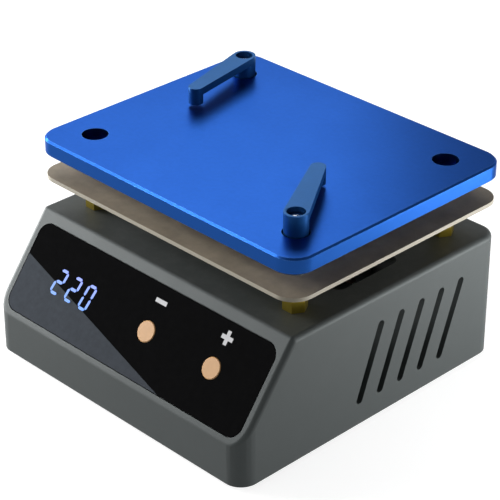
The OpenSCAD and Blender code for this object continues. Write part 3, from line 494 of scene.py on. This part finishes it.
for place in CLAMPS:
    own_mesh(frame["nodes"][f"clamp_spring_{place}"])


# Display: the bars of three digits, lit so that they read 220, in mm

DIGIT_W, DIGIT_H, BAR_W, BAR_GAP, PITCH = 4.6, 7.6, 0.95, 0.12, 5.9
LEAN = math.tan(math.radians(7))
DISPLAY_X = -25.5
GUIDE_BACK, GUIDE_FRONT = -1.2, -0.01
BAR_ENDS = {"top": ((0, 2), (1, 2)), "upper_right": ((1, 2), (1, 1)), "lower_right": ((1, 1), (1, 0)),
            "bottom": ((0, 0), (1, 0)), "lower_left": ((0, 1), (0, 0)), "upper_left": ((0, 2), (0, 1)),
            "middle": ((0, 1), (1, 1))}
LIT_BARS = {"2": {"top", "upper_right", "middle", "lower_left", "bottom"},
            "0": {"top", "upper_right", "lower_right", "bottom", "lower_left", "upper_left"}}


def bar(name, middle):
    """Six-cornered outline of one bar of a digit: its two tips and two points beside each tip, half
    a bar's width in and out, all leaning to the right. Its ends are on a grid of one cell across and
    two cells up, counted from the middle of the digit."""
    cell = np.array([DIGIT_W - BAR_W - DIGIT_H * LEAN, (DIGIT_H - BAR_W) / 2])
    a, b = [(np.array(end) - (0.5, 1)) * cell for end in BAR_ENDS[name]]
    along = (b - a) / np.linalg.norm(b - a)
    side = np.array([-along[1], along[0]]) * BAR_W / 2
    a, b, step = a + along * BAR_GAP, b - along * BAR_GAP, along * BAR_W / 2
    outline = np.array([a, a + step - side, b - step - side, b, b - step + side, a + step + side])
    outline[:, 0] += outline[:, 1] * LEAN
    return outline + (middle, FACE_V)


def display():
    """Lit and unlit light guides, flush with the faceplate."""
    lit, unlit = [], []
    for i, digit in enumerate("220"):
        for name in BAR_ENDS:
            solid = prism(bar(name, DISPLAY_X + (i - 1) * PITCH), GUIDE_BACK, GUIDE_FRONT)
            (lit if name in LIT_BARS[digit] else unlit).append(solid)
    for name, solids, material in (("display_bars_lit", lit, LIT), ("display_bars_unlit", unlit, FACE)):
        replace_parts(piece(name, *joined(solids), material), "display_segments")


display()


# Stage, light and camera

def seen_directly(tree):
    """1 for what the camera sees, also through glass and in reflections, and 0 for other light."""
    path = add(tree, "ShaderNodeLightPath")
    seen = maths(tree, "MAXIMUM", path.outputs["Is Camera Ray"], path.outputs["Is Transmission Ray"])
    return maths(tree, "MAXIMUM", seen, path.outputs["Is Glossy Ray"])


def floor():
    """Pale floor, far wider than the view: white to the camera and in reflections where nothing
    shades it, and darker under the object."""
    reach = 3.0
    corners = [(-reach, -reach, 0), (reach, -reach, 0), (reach, reach, 0), (-reach, reach, 0)]
    mesh = bpy.data.meshes.new("floor")
    mesh.from_pydata(corners, [], [(0, 1, 2, 3)])
    material, tree, shader = new_material("floor_pale")
    set_inputs(tree, shader, {
        "Base Color": (0.42, 0.42, 0.42, 1), "Roughness": 0.9, "Specular IOR Level": 0.1,
        "Emission Color": (1, 1, 1, 1),
        "Emission Strength": maths(tree, "MULTIPLY", seen_directly(tree), FLOOR_GLOW)})
    mesh.materials.append(material)
    new_object("floor", mesh)


def lamp(name, place, target, size, power):
    """A square white lamp that shines from one point towards another."""
    light = bpy.data.lights.new(name, "AREA")
    light.shape = "SQUARE"
    light.size = size
    light.energy = power
    lamp_object = new_object(name, light)
    lamp_object.location = place
    aim = np.array(target, float) - np.array(place, float)
    yaw = math.atan2(aim[0], -aim[1])
    tilt = math.atan2(math.hypot(aim[0], aim[1]), -aim[2])
    lamp_object.rotation_euler = (tilt, 0, yaw + math.pi)


def world():
    """White surroundings up to a little above the horizon and greyer overhead, as the camera and
    reflections see them, and a weak even light for everything else."""
    scene_world = bpy.data.worlds.new("studio")
    bpy.context.scene.world = scene_world
    scene_world.use_nodes = True
    tree = scene_world.node_tree
    tree.nodes.clear()
    direction = add(tree, "ShaderNodeTexCoord").outputs["Generated"]
    rise = add(tree, "ShaderNodeSeparateXYZ", None, {0: direction}).outputs["Z"]
    overhead = spread(tree, rise, 0.15, 0.5)
    sky = mix_colour(tree, overhead, (1, 1, 1, 1), (SKY, SKY, SKY, 1))
    soft = add(tree, "ShaderNodeBackground", None, {"Color": (1, 1, 1, 1), "Strength": SOFT})
    white = add(tree, "ShaderNodeBackground", None, {"Color": sky, "Strength": 1.0})
    both = add(tree, "ShaderNodeMixShader", None,
               {0: seen_directly(tree), 1: soft.outputs[0], 2: white.outputs[0]})
    add(tree, "ShaderNodeOutputWorld", None, {"Surface": both.outputs[0]})


def camera():
    """The photograph's view: 45.7 degrees round to the right and 29.5 degrees above the level,
    through a long lens."""
    azimuth, elevation = math.radians(45.666), math.radians(29.547)
    distance, middle = 549.19 * MM, np.array([0, 0, 31.5 * MM])
    shift_right, shift_up = 1.498 * MM, 0.9 * MM
    right = np.array([math.cos(azimuth), math.sin(azimuth), 0])
    back = np.array([math.sin(azimuth) * math.cos(elevation), -math.cos(azimuth) * math.cos(elevation),
                     math.sin(elevation)])
    up = np.cross(back, right)
    target = middle + right * shift_right + up * shift_up
    lens = bpy.data.cameras.new("camera")
    lens.lens = 142.9
    lens.sensor_width = 36.0
    lens.clip_start = 0.01
    view = new_object("camera", lens)
    view.location = target + back * distance
    view.rotation_euler = (math.pi / 2 - elevation, 0, azimuth)
    bpy.context.scene.camera = view


floor()
world()
# Lamps: place, target and width in metres, and power in watts
lamp("plate_sheen", (-0.22, 0.17, 0.27), (0, -0.02, 0.06), 0.2, 0.38)
lamp("right_side", (0.17, 0.13, 0.03), (0.05, 0.02, 0.05), 0.06, 0.38)
lamp("right_gap", (0.22, 0.06, 0.075), (0.05, 0, 0.052), 0.05, 0.12)
lamp("panel_sheen", (-0.386, -0.44, 0.3), (0, -0.04, 0.025), 0.35, 0.7)
lamp("front", (-0.15, -0.7, 0.5), (0, 0, 0.05), 0.4, 0.6)
lamp("inside", (0.004, -0.016, 0.031), (0.05, 0.014, 0.018), 0.016, 0.009)
lamp("front_chamfer", (-0.37, -0.34, 0.42), (0, -0.045, 0.06), 0.08, 0.75)
lamp("left", (-0.52, -0.16, 0.1), (0, 0, 0.03), 0.2, 6.3)
camera()
bpy.context.scene.view_settings.view_transform = "Standard"
